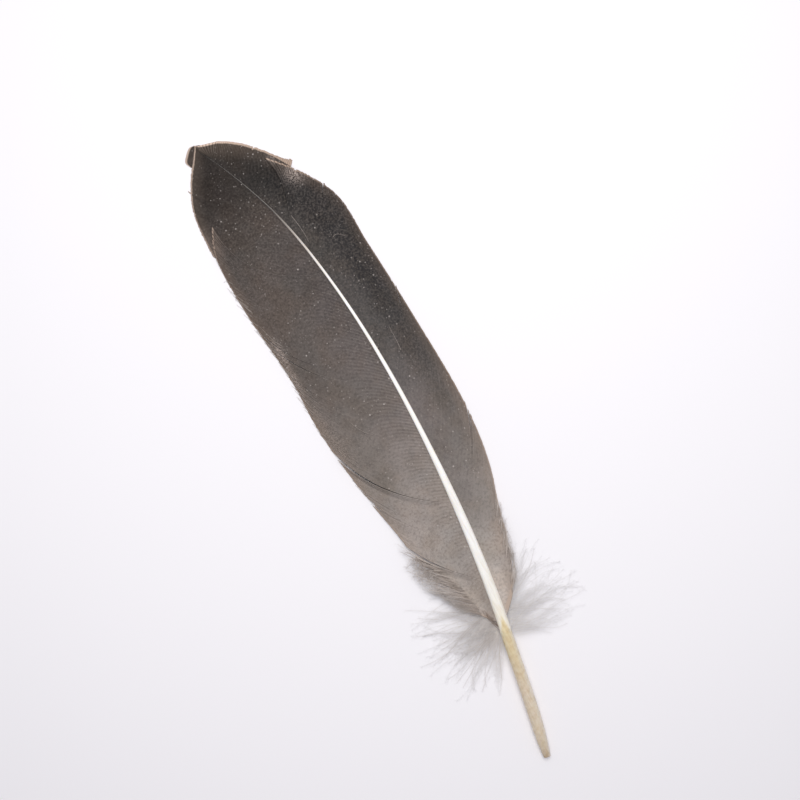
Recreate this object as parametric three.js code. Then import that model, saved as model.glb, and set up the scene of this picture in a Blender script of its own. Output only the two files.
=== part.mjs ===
// A natural goose-feather quill, uncut, lying on a table with its upper side up.
//
// Units are millimetres. +Y runs from the end of the barrel to the tip of the vane and +Z is up.
// While the pieces are made, the middle of the barrel's end is at x = 0, y = 0 and the table is
// z = 0. At the end the whole quill is moved so that its origin is the middle of its footprint.
//
// A feather is one hollow shaft with a vane on each side. Each vane is made of barbs, which hook
// together in locks: groups that stay zipped and part from each other at the vane's splits.

import * as THREE from 'three';
import { mergeVertices } from 'three/addons/utils/BufferGeometryUtils.js';

const { clamp, degToRad, lerp, radToDeg, smoothstep } = THREE.MathUtils;

// Driving dimensions
const LENGTH = 250; // straight from the barrel's end to the vane's tip
const BARREL_LENGTH = 47; // hollow, bare stretch of the shaft
const BARREL_WALL = 0.45;
const RACHIS_WALL = 0.4;
const RACHIS_END = 247;
const RACHIS_DEPTH = 0.92; // depth of the rachis over its width
const PITH_END = 124; // beyond it the rachis is too thin to be hollow
const FLAT_LENGTH = 13; // stretch of the barrel that lies flat on the table
const ARCH_HEIGHT = 8; // how far the shaft's underside rises above the table
const ARCH_FULLNESS = 1.4;
const VANE_THICKNESS = 0.4;
const BARB_ROOT_HEIGHT = 0.62; // where the barbs leave the shaft, over its depth
const BARB_LEAD = 0.55; // how far a barb keeps its first heading, over its length
const BARB_DROOP = 1.7; // how late along its length a barb droops
const DOWN_THICKNESS = 0.6;
const GAP = 0.3; // clearance between neighbouring pieces
const PULP_CAPS = 6;
const DOWN_TUFTS = 5; // on each side

// Facets
const SHAFT_SIDES = 12;
const RACHIS_STEPS = 20;
const BORE_STEPS = 8;
const BARB_STEPS = 8;
const LOCK_STEPS = 4;
const TUFT_STEPS = 3;
const FACET_FACTOR = 1 / Math.cos(Math.PI / SHAFT_SIDES); // facets touch the true outline

// Radii of a turned shaft profile: 0 is the middle, BORE the inside wall, OUTSIDE the surface.
const BORE = 1;
const OUTSIDE = 2;

// Smooth curve through [at, value] points, held level past its ends.
function curveThrough(points) {
  const stations = points.map((point) => point[0]);
  const values = points.map((point) => point[1]);
  const curve = new THREE.CubicInterpolant(stations, values, 1);
  const last = stations.length - 1;
  return (at) => curve.evaluate(clamp(at, stations[0], stations[last]))[0];
}

// The shaft seen from above: its middle line and its width, by distance along +Y.
const shaftX = curveThrough([
  [0, 0], [20, 4.6], [40, 8.6], [60, 12.6], [100, 18], [145, 20.6], [180, 19.4], [210, 15.1],
  [235, 7.3], [LENGTH, 0.6],
]);
const shaftWidth = curveThrough([
  [0, 2.5], [6, 3.7], [15, 4.3], [30, 4.25], [60, 3.9], [90, 3.1], [120, 1.9], [150, 1.35],
  [200, 0.8], [RACHIS_END, 0.4],
]);

// The vane seen from above: where its two edges run, by distance along +Y.
const innerEdgeX = curveThrough([
  [54, 6.5], [62, 0], [72, -5], [90, -5.5], [110, -8.8], [140, -11.6], [160, -11], [190, -12.8],
  [215, -12.4], [230, -11], [240, -6], [247, -2], [LENGTH, 0.2],
]);
const outerEdgeX = curveThrough([
  [54, 14.5], [58, 19], [65, 24.5], [75, 27.5], [85, 30.2], [100, 35], [120, 38], [160, 38.2],
  [190, 37.2], [210, 36.2], [225, 28.5], [240, 18.5], [247, 9.5], [LENGTH, 2.2],
]);

// The two vanes. Barbs leave the shaft at a root angle to it and curve towards the tip. "reach"
// says how far along +Y the end of a barb is when its root is at the first number. The lowest barb
// of a vane is the outline of its foot, so every barb meets the edge more steeply than the edge
// itself runs, and no barb crosses the next. Locks are shared out evenly between the splits.
// "openings" says how many millimetres of roots are missing at the edge of a lock that stands apart
// from the next one towards the tip, by lock number. The vane's edge lies on the table, except at
// its foot, where it is lifted up to the root "footEnd".
const INNER_VANE = {
  name: 'inner_vane_lock',
  side: -1,
  color: '#5c5350',
  edgeX: innerEdgeX,
  reach: curveThrough([
    [50, 65], [58, 77], [66, 89], [80, 107], [95, 131], [120, 157], [150, 184], [187, 217],
    [215, 238], [232, 246], [243, LENGTH],
  ]),
  rootAngle: curveThrough([[50, 50], [80, 62], [200, 60], [243, 22]]),
  footLift: 2.8,
  footEnd: 85,
  splits: [50, 66, 95, 187, 243],
  locksBetweenSplits: [2, 2, 6, 3],
  rootGap: 0.9,
  openings: { 2: 2.4, 4: 2.6, 10: 3 },
};
const OUTER_VANE = {
  name: 'outer_vane_lock',
  side: 1,
  color: '#3a3836',
  edgeX: outerEdgeX,
  reach: curveThrough([
    [51, 65], [60, 77], [70, 91], [80, 106.5], [100, 135], [150, 183], [200, 224], [225, 240],
    [240, 248], [243, LENGTH - 0.2],
  ]),
  rootAngle: curveThrough([[51, 40], [100, 36], [200, 34], [243, 14]]),
  footLift: 2,
  footEnd: 70,
  splits: [51, 70, 206, 243],
  locksBetweenSplits: [2, 7, 3],
  rootGap: 1.3,
  openings: { 9: 3 },
};

// The fans of down at the foot of the vane. Angles are measured from +Y, outwards.
const DOWN_INNER_RADIUS = 3.6;
const DOWN_ROOT_HEIGHT = 2.9;
const DOWN_REST_HEIGHT = 0.35;
const LEFT_DOWN = {
  name: 'left_down_tuft',
  side: -1,
  centre: [8.4, BARREL_LENGTH],
  firstAngle: 60,
  lastAngle: 148,
  radius: curveThrough([[60, 27], [105, 27], [148, 18]]),
};
const RIGHT_DOWN = {
  name: 'right_down_tuft',
  side: 1,
  centre: [10.6, BARREL_LENGTH],
  firstAngle: 58,
  lastAngle: 140,
  radius: curveThrough([[58, 27], [100, 28], [140, 18]]),
};

// Height of the shaft's underside above the table: flat at the barrel's end, then one long arch.
function undersideHeight(y) {
  const along = clamp((y - FLAT_LENGTH) / (LENGTH - FLAT_LENGTH), 0, 1);
  return ARCH_HEIGHT * Math.sin(Math.PI * along) ** ARCH_FULLNESS;
}

// Round barrel below the vane, slightly flattened rachis above it.
function shaftDepth(y) {
  const flattening = smoothstep(y, BARREL_LENGTH - 8, BARREL_LENGTH + 8);
  return shaftWidth(y) * lerp(1, RACHIS_DEPTH, flattening);
}

// Slope of the shaft's middle line, seen from above: change of x for each millimetre of y.
function shaftSlope(y) {
  const [before, after] = [Math.max(y - 1, 0), Math.min(y + 1, LENGTH)];
  return (shaftX(after) - shaftX(before)) / (after - before);
}

// Point of the shaft's section at y: right and up run from -1 to 1 across it, less the inset.
function shaftPoint(y, right, up, inset = 0) {
  const halfWidth = shaftWidth(y) / 2 - inset;
  const halfDepth = shaftDepth(y) / 2 - inset;
  const side = new THREE.Vector3(1, -shaftSlope(y), 0).normalize();
  const point = new THREE.Vector3(shaftX(y), y, undersideHeight(y) + halfDepth + inset);
  point.addScaledVector(side, right * halfWidth);
  point.z += up * halfDepth;
  return point;
}

// Joins the seams of a closed three.js geometry and moves its vertices to where place() says.
function reshaped(geometry, place) {
  geometry.deleteAttribute('uv');
  geometry.deleteAttribute('normal');
  const merged = mergeVertices(geometry, 1e-5);
  const position = merged.getAttribute('position');
  const vertex = new THREE.Vector3();
  for (let index = 0; index < position.count; index += 1) {
    vertex.fromBufferAttribute(position, index);
    const placed = place(vertex);
    position.setXYZ(index, placed.x, placed.y, placed.z);
  }
  merged.computeVertexNormals();
  return merged;
}

function piece(name, geometry, color, roughness) {
  const material = new THREE.MeshStandardMaterial({ color, roughness, metalness: 0 });
  const mesh = new THREE.Mesh(geometry, material);
  mesh.name = name;
  return mesh;
}

// A piece of the shaft, turned from a profile of [radius, y] points and bent along the shaft.
// Its lowest facets face straight down. Everything up to the BORE radius is inset.
function shaftGeometry(profile, inset) {
  const points = profile.map(([radius, y]) => new THREE.Vector2(radius, y));
  const lathe = new THREE.LatheGeometry(points, SHAFT_SIDES, Math.PI / SHAFT_SIDES);
  return reshaped(lathe, (vertex) => {
    const isOutside = Math.hypot(vertex.x, vertex.z) > (BORE + OUTSIDE) / 2;
    const scale = FACET_FACTOR / (isOutside ? OUTSIDE : BORE);
    return shaftPoint(vertex.y, vertex.x * scale, vertex.z * scale, isOutside ? 0 : inset);
  });
}

function evenly(start, end, count) {
  return Array.from({ length: count + 1 }, (_, index) => lerp(start, end, index / count));
}

// The barrel (calamus): a thin round tube, open at the lower umbilicus and towards the rachis.
function makeBarrel() {
  const stations = [0, 1.5, 3, 6, 10, FLAT_LENGTH, 21, 30, 39, BARREL_LENGTH];
  const outside = stations.map((y) => [OUTSIDE, y]);
  const bore = stations.map((y) => [BORE, y]).reverse();
  const profile = [...outside, ...bore, outside[0]];
  return piece('calamus_barrel', shaftGeometry(profile, BARREL_WALL), '#d6c9a5', 0.35);
}

// The shell (cortex) of the rachis: hollow at its thick end, solid towards the tip.
function makeRachis() {
  const start = BARREL_LENGTH + GAP;
  const boreEnd = PITH_END + 3;
  const bore = evenly(boreEnd, start, BORE_STEPS).map((y) => [BORE, y]);
  const outside = evenly(start, RACHIS_END, RACHIS_STEPS).map((y) => [OUTSIDE, y]);
  const profile = [[0, boreEnd], ...bore, ...outside, [0, RACHIS_END]];
  return piece('rachis_cortex', shaftGeometry(profile, RACHIS_WALL), '#f5efe6', 0.4);
}

// The soft white pith that fills the rachis.
function makePith() {
  const start = BARREL_LENGTH + 2;
  const surface = evenly(start, PITH_END, BORE_STEPS).map((y) => [BORE, y]);
  const profile = [[0, start], ...surface, [0, PITH_END]];
  return piece('rachis_pith', shaftGeometry(profile, RACHIS_WALL + GAP), '#f7f3ea', 0.9);
}

// The dried stopper in the lower umbilicus, the pore at the barrel's end.
function makeUmbilicusPlug() {
  const [start, end] = [0.2, 1.8];
  const profile = [[0, start], [BORE, start], [BORE, end], [0, end]];
  return piece('lower_umbilicus_plug', shaftGeometry(profile, BARREL_WALL + GAP), '#6b4a33', 0.8);
}

// The pulp caps: thin dry cups, one behind the other, left inside the barrel as the feather grew.
function makePulpCap(number) {
  const [first, last] = [4, 44];
  const pitch = (last - first) / PULP_CAPS;
  const start = first + (number - 1) * pitch;
  const depth = 0.8 * pitch;
  const outside = [[0, 0], [0.7, 0.12], [BORE, 0.4], [BORE, 1]];
  const inside = [[0.72, 1], [0.72, 0.5], [0.45, 0.3], [0, 0.22]];
  const profile = [...outside, ...inside].map(([radius, along]) => [radius, start + along * depth]);
  return piece(`pulp_cap_${number}`, shaftGeometry(profile, BARREL_WALL + GAP), '#cbb88f', 0.6);
}

// Point of a vane: the barb rooted at "root" along the shaft, followed for "t" of its length.
function vanePoint(vane, root, t) {
  const shaftEdge = shaftPoint(root, vane.side, 0, -GAP);
  const start = new THREE.Vector2(shaftEdge.x, shaftEdge.y);
  const reach = vane.reach(root);
  const end = new THREE.Vector2(vane.edgeX(reach), reach);
  const heading = Math.atan(shaftSlope(root)) + vane.side * degToRad(vane.rootAngle(root));
  const lead = BARB_LEAD * start.distanceTo(end);
  const bend = new THREE.Vector2(Math.sin(heading), Math.cos(heading)).multiplyScalar(lead).add(start);
  const barb = new THREE.QuadraticBezierCurve(start, bend, end).getPoint(t);
  const rootHeight = undersideHeight(root) + BARB_ROOT_HEIGHT * shaftDepth(root);
  const lift = vane.footLift * smoothstep(vane.footEnd - root, 0, vane.footEnd - vane.splits[0]);
  const edgeHeight = VANE_THICKNESS / 2 + lift;
  return new THREE.Vector3(barb.x, barb.y, lerp(rootHeight, edgeHeight, t ** BARB_DROOP));
}

// One lock of barbs, between two roots on the shaft.
function makeLock(vane, number, fromRoot, toRoot) {
  const slab = new THREE.BoxGeometry(1, 1, 1, BARB_STEPS, LOCK_STEPS, 1);
  const low = fromRoot + vane.rootGap / 2;
  const high = toRoot - vane.rootGap / 2;
  const opening = vane.openings[number] ?? 0;
  const geometry = reshaped(slab, (vertex) => {
    const t = 0.5 + vane.side * vertex.x;
    const root = lerp(low, high - opening * t, vertex.y + 0.5);
    const point = vanePoint(vane, root, t);
    point.z += vertex.z * VANE_THICKNESS;
    return point;
  });
  const name = `${vane.name}_${String(number).padStart(2, '0')}`;
  return piece(name, geometry, vane.color, 0.75);
}

function makeVane(vane) {
  const group = new THREE.Group();
  vane.locksBetweenSplits.forEach((count, stretch) => {
    const roots = evenly(vane.splits[stretch], vane.splits[stretch + 1], count);
    for (let index = 0; index < count; index += 1) {
      const number = group.children.length + 1;
      group.add(makeLock(vane, number, roots[index], roots[index + 1]));
    }
  });
  return group;
}

// One tuft of down: a thin sector of the fan, drooping from the shaft to the table.
function makeTuft(fan, number) {
  const span = (fan.lastAngle - fan.firstAngle) / DOWN_TUFTS;
  const middle = fan.firstAngle + (number - 0.5) * span;
  const slab = new THREE.BoxGeometry(1, 1, 1, BARB_STEPS, TUFT_STEPS, 1);
  const geometry = reshaped(slab, (vertex) => {
    const t = 0.5 + fan.side * vertex.x;
    const radius = lerp(DOWN_INNER_RADIUS, fan.radius(middle), t);
    const clearance = radToDeg(GAP / radius);
    const angle = degToRad(middle - vertex.y * (span - clearance));
    const height = lerp(DOWN_ROOT_HEIGHT, DOWN_REST_HEIGHT, t ** 0.6);
    return new THREE.Vector3(
      fan.centre[0] + fan.side * radius * Math.sin(angle),
      fan.centre[1] + radius * Math.cos(angle),
      height + vertex.z * DOWN_THICKNESS,
    );
  });
  return piece(`${fan.name}_${number}`, geometry, '#d9d5d3', 0.95);
}

function makeDown(fan) {
  const group = new THREE.Group();
  for (let number = 1; number <= DOWN_TUFTS; number += 1) {
    group.add(makeTuft(fan, number));
  }
  return group;
}

// The afterfeather: a small downy tuft that grows under the shaft from the upper umbilicus.
function makeAfterfeather() {
  const [start, end] = [BARREL_LENGTH + 2, BARREL_LENGTH + 20];
  const slab = new THREE.BoxGeometry(1, 1, 1, 2, 4, 1);
  const geometry = reshaped(slab, (vertex) => {
    const along = vertex.y + 0.5;
    const y = lerp(start, end, along);
    const width = lerp(2, 6.8, Math.sin(Math.PI * along * 0.8));
    const top = undersideHeight(y) - lerp(GAP, 1.4, along);
    return new THREE.Vector3(shaftX(y) + vertex.x * width, y, top + (vertex.z - 0.5) * DOWN_THICKNESS);
  });
  return piece('afterfeather', geometry, '#dedad6', 0.95);
}

function makeQuill() {
  const quill = new THREE.Group();
  quill.add(makeBarrel(), makeUmbilicusPlug(), makeRachis(), makePith());
  for (let number = 1; number <= PULP_CAPS; number += 1) {
    quill.add(makePulpCap(number));
  }
  quill.add(makeVane(INNER_VANE), makeVane(OUTER_VANE));
  quill.add(makeDown(LEFT_DOWN), makeDown(RIGHT_DOWN), makeAfterfeather());

  const box = new THREE.Box3().setFromObject(quill);
  const middle = box.getCenter(new THREE.Vector3());
  quill.position.set(-middle.x, -middle.y, -box.min.z);
  return quill;
}

export default makeQuill();
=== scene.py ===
"""Looks of the goose-feather quill: every barb, the horn shaft and the down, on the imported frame.

Shapes are worked out in the feather's own millimetres: x = y = 0 is the middle of the barrel's end,
+Y runs to the tip of the vane and z = 0 is the table. in_frame() moves them to the row frame.
"""

import bpy
import numpy as np
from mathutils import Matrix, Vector


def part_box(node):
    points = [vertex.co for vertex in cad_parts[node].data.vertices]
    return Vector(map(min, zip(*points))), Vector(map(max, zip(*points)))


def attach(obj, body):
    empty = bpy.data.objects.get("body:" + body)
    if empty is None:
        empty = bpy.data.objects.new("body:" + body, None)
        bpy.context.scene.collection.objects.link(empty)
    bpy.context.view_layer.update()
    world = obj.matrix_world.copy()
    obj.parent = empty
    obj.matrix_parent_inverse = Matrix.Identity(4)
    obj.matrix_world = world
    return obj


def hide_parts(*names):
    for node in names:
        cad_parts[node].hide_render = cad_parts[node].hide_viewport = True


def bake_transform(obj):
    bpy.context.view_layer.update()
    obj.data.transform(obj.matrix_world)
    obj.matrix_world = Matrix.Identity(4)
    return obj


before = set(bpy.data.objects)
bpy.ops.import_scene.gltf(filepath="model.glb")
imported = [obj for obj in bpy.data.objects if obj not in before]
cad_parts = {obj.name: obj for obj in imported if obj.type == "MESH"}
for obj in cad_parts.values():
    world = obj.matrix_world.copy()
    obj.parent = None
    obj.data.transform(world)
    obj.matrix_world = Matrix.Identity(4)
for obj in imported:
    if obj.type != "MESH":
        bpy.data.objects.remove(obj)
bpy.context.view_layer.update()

# The feather, in millimetres, as the CAD has it
LENGTH = 250
BARREL_LENGTH = 47
BARREL_WALL = 0.45
RACHIS_WALL = 0.4
RACHIS_END = 247
RACHIS_DEPTH = 0.92  # over its width
FLATTENING = (BARREL_LENGTH - 8, BARREL_LENGTH + 8)  # where the barrel turns into the rachis
PITH_END = 124
FLAT_LENGTH = 13  # how much of the barrel lies flat on the table
ARCH_HEIGHT = 8  # of the shaft's underside
ARCH_FULLNESS = 1.4
BARB_ROOT_HEIGHT = 0.62  # over the shaft's depth
BARB_LEAD = 0.55  # where a barb bends, over the distance between its ends
BARB_DROOP = 1.7
EDGE_HEIGHT = 0.2  # of the vane's edge over the table
GAP = 0.3  # between a shell and what it holds
PULP_CAPS = 6
PULP_CAP_RANGE = (4, 44)
DOWN_TUFTS = 5
PLUG_STATIONS = (0.2, 1.8)

SEED = 7
BODY = "feather"
LOOSE_LOCKS = {
    "inner_vane_lock_02": "foot_split_lock",
    "inner_vane_lock_04": "middle_split_lock",
    "inner_vane_lock_10": "tip_split_lock",
    "outer_vane_lock_09": "outer_split_lock",
}


def curve_through(points):
    """Smooth curve through (at, value) points, held level past its ends."""
    at, value = np.array(points, float).T
    secant = np.diff(value) / np.diff(at)
    slope = np.concatenate([secant[:1], (secant[1:] + secant[:-1]) / 2, secant[-1:]])

    def curve(x):
        x = np.clip(x, at[0], at[-1])
        i = np.clip(np.searchsorted(at, x, side="right") - 1, 0, len(at) - 2)
        span = at[i + 1] - at[i]
        t = (x - at[i]) / span
        start = (1 + 2 * t) * (1 - t) ** 2 * value[i] + t * (1 - t) ** 2 * span * slope[i]
        end = t**2 * (3 - 2 * t) * value[i + 1] + t**2 * (t - 1) * span * slope[i + 1]
        return start + end

    return curve


def smoothstep(x, low, high):
    t = np.clip((x - low) / (high - low), 0, 1)
    return t * t * (3 - 2 * t)


def bell(x, reach):
    """1 at x = 0, falling off on both sides."""
    return np.exp(-((x / reach) ** 2))


def lerp(a, b, t):
    return a + (b - a) * t


shaft_x = curve_through([
    (0, 0), (20, 4.6), (40, 8.6), (60, 12.6), (100, 18), (145, 20.6), (180, 19.4), (210, 15.1),
    (235, 7.3), (LENGTH, 0.6),
])
shaft_width = curve_through([
    (0, 2.5), (6, 3.7), (15, 4.3), (30, 4.25), (60, 3.9), (90, 3.1), (120, 1.9), (150, 1.35),
    (200, 0.8), (228, 0.44), (238, 0.2), (RACHIS_END, 0.14),
])

# The two vanes. edge_x is the x of the free edge at each y. For the y of a barb's root, reach says
# how far up the feather it ends and root_angle how it leaves the shaft, in degrees. The vane is
# parted at the roots in splits. Two entries go by the number of a lock. openings: how far the split
# above it opens, how sharply, and how high its last barbs stand. laps: how far its last barbs move
# to lie over the next lock, and that lock's first barbs below them. glints are ruffled patches that
# get a painted highlight: x, y, half width, half length and strength.
INNER_VANE = {
    "name": "inner_vane_lock",
    "piece": "inner_vane_barbs",
    "side": -1,
    "edge_x": curve_through([
        (54, 6.5), (62, 0), (72, -5), (90, -5.5), (110, -8.8), (140, -11.6), (160, -11),
        (190, -12.8), (215, -12.4), (230, -10.6), (240, -5.8), (246, -1.2), (LENGTH, 1.8),
    ]),
    "reach": curve_through([
        (50, 65), (58, 77), (66, 89), (80, 107), (95, 131), (120, 157), (150, 184), (187, 217),
        (215, 238), (232, 246), (243, LENGTH),
    ]),
    "root_angle": curve_through([(50, 50), (80, 62), (200, 60), (243, 22)]),
    "foot_lift": 2.8,
    "foot_end": 85,
    "splits": (50, 66, 95, 187, 243),
    "locks_between_splits": (2, 2, 6, 3),
    "openings": {2: (2.6, 4.0, 0.7), 4: (1.8, 2.4, 0.9)},
    "laps": {10: ((4.9, 4.3, 1.8), (-0.5, -4.5, 0.3))},
    "glints": [(-9.3, 171, 1.4, 5, 1.0), (-9.6, 160, 1.0, 5, 0.8), (-9, 130, 4, 22, 0.4)],
    "frays": (84, 104, 128, 136, 148),
    "notches": (82,),
    "downy_until": 67,
    "barb_spacing": 0.56,
}
OUTER_VANE = {
    "name": "outer_vane_lock",
    "piece": "outer_vane_barbs",
    "side": 1,
    "edge_x": curve_through([
        (54, 14.5), (58, 19), (65, 24.5), (75, 27.5), (85, 30.2), (100, 35), (120, 38),
        (160, 38.2), (190, 37.2), (210, 36.2), (225, 28.5), (240, 18.5), (247, 9.5),
        (LENGTH, 2.2),
    ]),
    "reach": curve_through([
        (51, 65), (60, 77), (70, 91), (80, 106.5), (100, 135), (150, 183), (200, 224),
        (225, 240), (240, 248), (243, LENGTH - 0.2),
    ]),
    "root_angle": curve_through([(51, 40), (100, 36), (200, 34), (243, 14)]),
    "foot_lift": 2,
    "foot_end": 70,
    "splits": (51, 70, 206, 243),
    "locks_between_splits": (2, 7, 3),
    "openings": {},
    "laps": {9: ((-6.0, 5.2, 1.1), (2.3, -0.2, 0.3))},
    "glints": [(27, 223, 3.0, 3.4, 0.9), (23, 232, 2, 2, 0.5)],
    "frays": (70, 88),
    "notches": (),
    "downy_until": 60,
    "barb_spacing": 0.66,
}


def underside_height(y):
    along = np.clip((y - FLAT_LENGTH) / (LENGTH - FLAT_LENGTH), 0, 1)
    return ARCH_HEIGHT * np.sin(np.pi * along) ** ARCH_FULLNESS


def shaft_depth(y):
    flattening = smoothstep(y, *FLATTENING)
    return shaft_width(y) * lerp(1, RACHIS_DEPTH, flattening)


def shaft_slope(y):
    before, after = np.maximum(y - 1, 0), np.minimum(y + 1, LENGTH)
    return (shaft_x(after) - shaft_x(before)) / (after - before)


def shaft_point(y, right, up, inset=0.0):
    """Points of the shaft's section at y: right and up run from -1 to 1 across it."""
    half_width = shaft_width(y) / 2 - inset
    half_depth = shaft_depth(y) / 2 - inset
    slope = shaft_slope(y)
    level = 1 / np.sqrt(1 + slope**2)
    x = shaft_x(y) + right * half_width * level
    along = y - right * half_width * level * slope
    z = underside_height(y) + half_depth + inset + up * half_depth
    return np.stack(np.broadcast_arrays(x, along, z), -1)


def frame_shift():
    """Where the feather's own origin lies in the row frame: both know the plug's middle."""
    low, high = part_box("lower_umbilicus_plug")
    middle = 1000 * (np.array(low) + np.array(high)) / 2
    own = np.mean([shaft_point(y, 0, 0) for y in PLUG_STATIONS], axis=0)
    return np.array([middle[0] - own[0], middle[1] - own[1], 0])


SHIFT = frame_shift()


def in_frame(points):
    return (points + SHIFT) / 1000


# ---- meshes


def grid_faces(rows, columns, closed_rows=False, count=1):
    """Quads of count tubes, one after another: each has rows rings of columns points."""
    row = np.arange(rows if closed_rows else rows - 1)
    r, c = np.meshgrid(row, np.arange(columns), indexing="ij")
    next_r, next_c = (r + 1) % rows, (c + 1) % columns
    corners = ((r, c), (r, next_c), (next_r, next_c), (next_r, c))
    faces = np.stack([(i * columns + j).ravel() for i, j in corners], -1)
    offsets = np.arange(count)[:, None, None] * rows * columns
    return (faces[None] + offsets).reshape(-1, 4)


def cap_faces(first, columns, count, stride, flip):
    """Quads that close a ring of an even number of points, for count rings a stride apart."""
    i = np.arange(columns // 2 - 1)
    faces = np.stack([i, i + 1, columns - 2 - i, columns - 1 - i], -1)
    if flip:
        faces = faces[:, ::-1]
    return (faces[None] + first + np.arange(count)[:, None, None] * stride).reshape(-1, 4)


def strand_faces(count, rings, sides):
    """Quads of count closed strands, each of rings sections with an even number of sides."""
    stride = rings * sides
    return np.concatenate([
        grid_faces(rings, sides, count=count),
        cap_faces(0, sides, count, stride, flip=True),
        cap_faces((rings - 1) * sides, sides, count, stride, flip=False),
    ])


def outward(points, faces):
    """The faces, turned over if the closed mesh would be inside out."""
    a, b, c, d = (points[faces[:, k]] for k in range(4))
    volume = np.einsum("ij,ij->", a, np.cross(b, c)) + np.einsum("ij,ij->", a, np.cross(c, d))
    return faces if volume > 0 else faces[:, ::-1]


def make_object(name, points, faces, attributes, material):
    """A smooth-shaded object of quads with one float attribute for each name given."""
    points = in_frame(points.reshape(-1, 3))
    faces = outward(points, faces)
    mesh = bpy.data.meshes.new(name)
    mesh.vertices.add(len(points))
    mesh.vertices.foreach_set("co", points.ravel())
    mesh.loops.add(faces.size)
    mesh.loops.foreach_set("vertex_index", faces.ravel().astype(np.int32))
    mesh.polygons.add(len(faces))
    mesh.polygons.foreach_set("loop_start", np.arange(0, faces.size, 4, dtype=np.int32))
    mesh.update(calc_edges=True)
    mesh.validate()
    mesh.shade_smooth()
    for key, values in attributes.items():
        layer = mesh.attributes.new(key, "FLOAT", "POINT")
        layer.data.foreach_set("value", np.asarray(values, np.float32).ravel())
    mesh.materials.append(material)
    made = bpy.data.objects.new(name, mesh)
    bpy.context.scene.collection.objects.link(made)
    return made


# ---- materials


def new_material(name):
    material = bpy.data.materials.new(name)
    material.use_nodes = True
    tree = material.node_tree
    shader = tree.nodes["Principled BSDF"]
    return material, tree, shader


def attribute(tree, name):
    node = tree.nodes.new("ShaderNodeAttribute")
    node.attribute_name = name
    return node.outputs["Fac"]


def ramp(tree, factor, stops):
    """Colour by factor. Stops are (place, sRGB hex colour)."""
    node = tree.nodes.new("ShaderNodeValToRGB")
    elements = node.color_ramp.elements
    while len(elements) < len(stops):
        elements.new(0.5)
    for element, (place, colour) in zip(elements, stops):
        element.position = place
        element.color = (*srgb(colour), 1)
    tree.links.new(factor, node.inputs["Fac"])
    return node.outputs["Color"]


def srgb(colour):
    """Linear values of a hex colour."""
    channels = [int(colour[i : i + 2], 16) / 255 for i in (1, 3, 5)]
    return [c / 12.92 if c <= 0.04045 else ((c + 0.055) / 1.055) ** 2.4 for c in channels]


def mix(tree, factor, a, b, blend="MIX"):
    """Mixes two colours. Factor, a and b are sockets, numbers or hex colours."""
    node = tree.nodes.new("ShaderNodeMix")
    node.data_type = "RGBA"
    node.blend_type = blend
    for socket, value in ((node.inputs[0], factor), (node.inputs[6], a), (node.inputs[7], b)):
        if isinstance(value, str):
            socket.default_value = (*srgb(value), 1)
        elif isinstance(value, (int, float)):
            socket.default_value = value
        else:
            tree.links.new(value, socket)
    return node.outputs[2]


def mapped(tree, factor, from_low, from_high, to_low=0.0, to_high=1.0):
    node = tree.nodes.new("ShaderNodeMapRange")
    node.interpolation_type = "SMOOTHSTEP"
    tree.links.new(factor, node.inputs["Value"])
    for socket, value in zip(("From Min", "From Max", "To Min", "To Max"),
                             (from_low, from_high, to_low, to_high)):
        node.inputs[socket].default_value = value
    return node.outputs["Result"]


def noise(tree, size_mm, stretch=(1, 1, 1), detail=3.0):
    """Noise on the piece's own coordinates, with features about size_mm across."""
    place = tree.nodes.new("ShaderNodeTexCoord")
    scale = tree.nodes.new("ShaderNodeMapping")
    scale.inputs["Scale"].default_value = stretch
    node = tree.nodes.new("ShaderNodeTexNoise")
    node.inputs["Scale"].default_value = 1000 / size_mm
    node.inputs["Detail"].default_value = detail
    tree.links.new(place.outputs["Object"], scale.inputs["Vector"])
    tree.links.new(scale.outputs["Vector"], node.inputs["Vector"])
    return node.outputs["Fac"]


def times(tree, a, b):
    node = tree.nodes.new("ShaderNodeMath")
    node.operation = "MULTIPLY"
    tree.links.new(a, node.inputs[0])
    tree.links.new(b, node.inputs[1])
    return node.outputs["Value"]


def patches(tree, size_mm, between, amount=1.0, detail=3.0):
    """Random patches about size_mm across: 0 where the noise is low, amount where it is high."""
    return mapped(tree, noise(tree, size_mm, detail=detail), *between, 0, amount)


def bump(tree, shader, height, distance_mm, strength):
    node = tree.nodes.new("ShaderNodeBump")
    node.inputs["Strength"].default_value = strength
    node.inputs["Distance"].default_value = distance_mm / 1000
    tree.links.new(height, node.inputs["Height"])
    tree.links.new(node.outputs["Normal"], shader.inputs["Normal"])


def finish_shader(tree, shader, colour, inputs):
    """Links the base colour and sets the shader's other inputs by their names."""
    tree.links.new(colour, shader.inputs["Base Color"])
    for name, value in inputs.items():
        shader.inputs[name].default_value = value


SPECKS = [(1.7, 0.3, 0.6), (2.9, 0.42, 0.8), (1.1, 0.24, 0.3)]  # how far apart, how big, how strong
TINTS = [(9, "#ecdcc9"), (13, "#d3dee0")]  # size of the patches, and what multiplies them
STRAND_AMOUNT = 0.14
SHADE_AMOUNT = 0.14
GRAIN_AMOUNT = 0.26
PIT_AMOUNT = 0.24
TINT_AMOUNT = 0.3
RIDGE_AMOUNT = 0.56
WARM_AMOUNT = 0.2
WARM_BAND = (0.4, 4.5)  # from the free edge, in millimetres
# The rim band is partly the tips' own pale colour and partly painted light showing through them
RIM_BAND = (0.25, 0.6)
PLAIN_TOWARDS_TIP = (0.3, 0.74)  # along the feather, strands and ridges stand out less and less
DARK_TIP = (0.84, 0.93)


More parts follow.
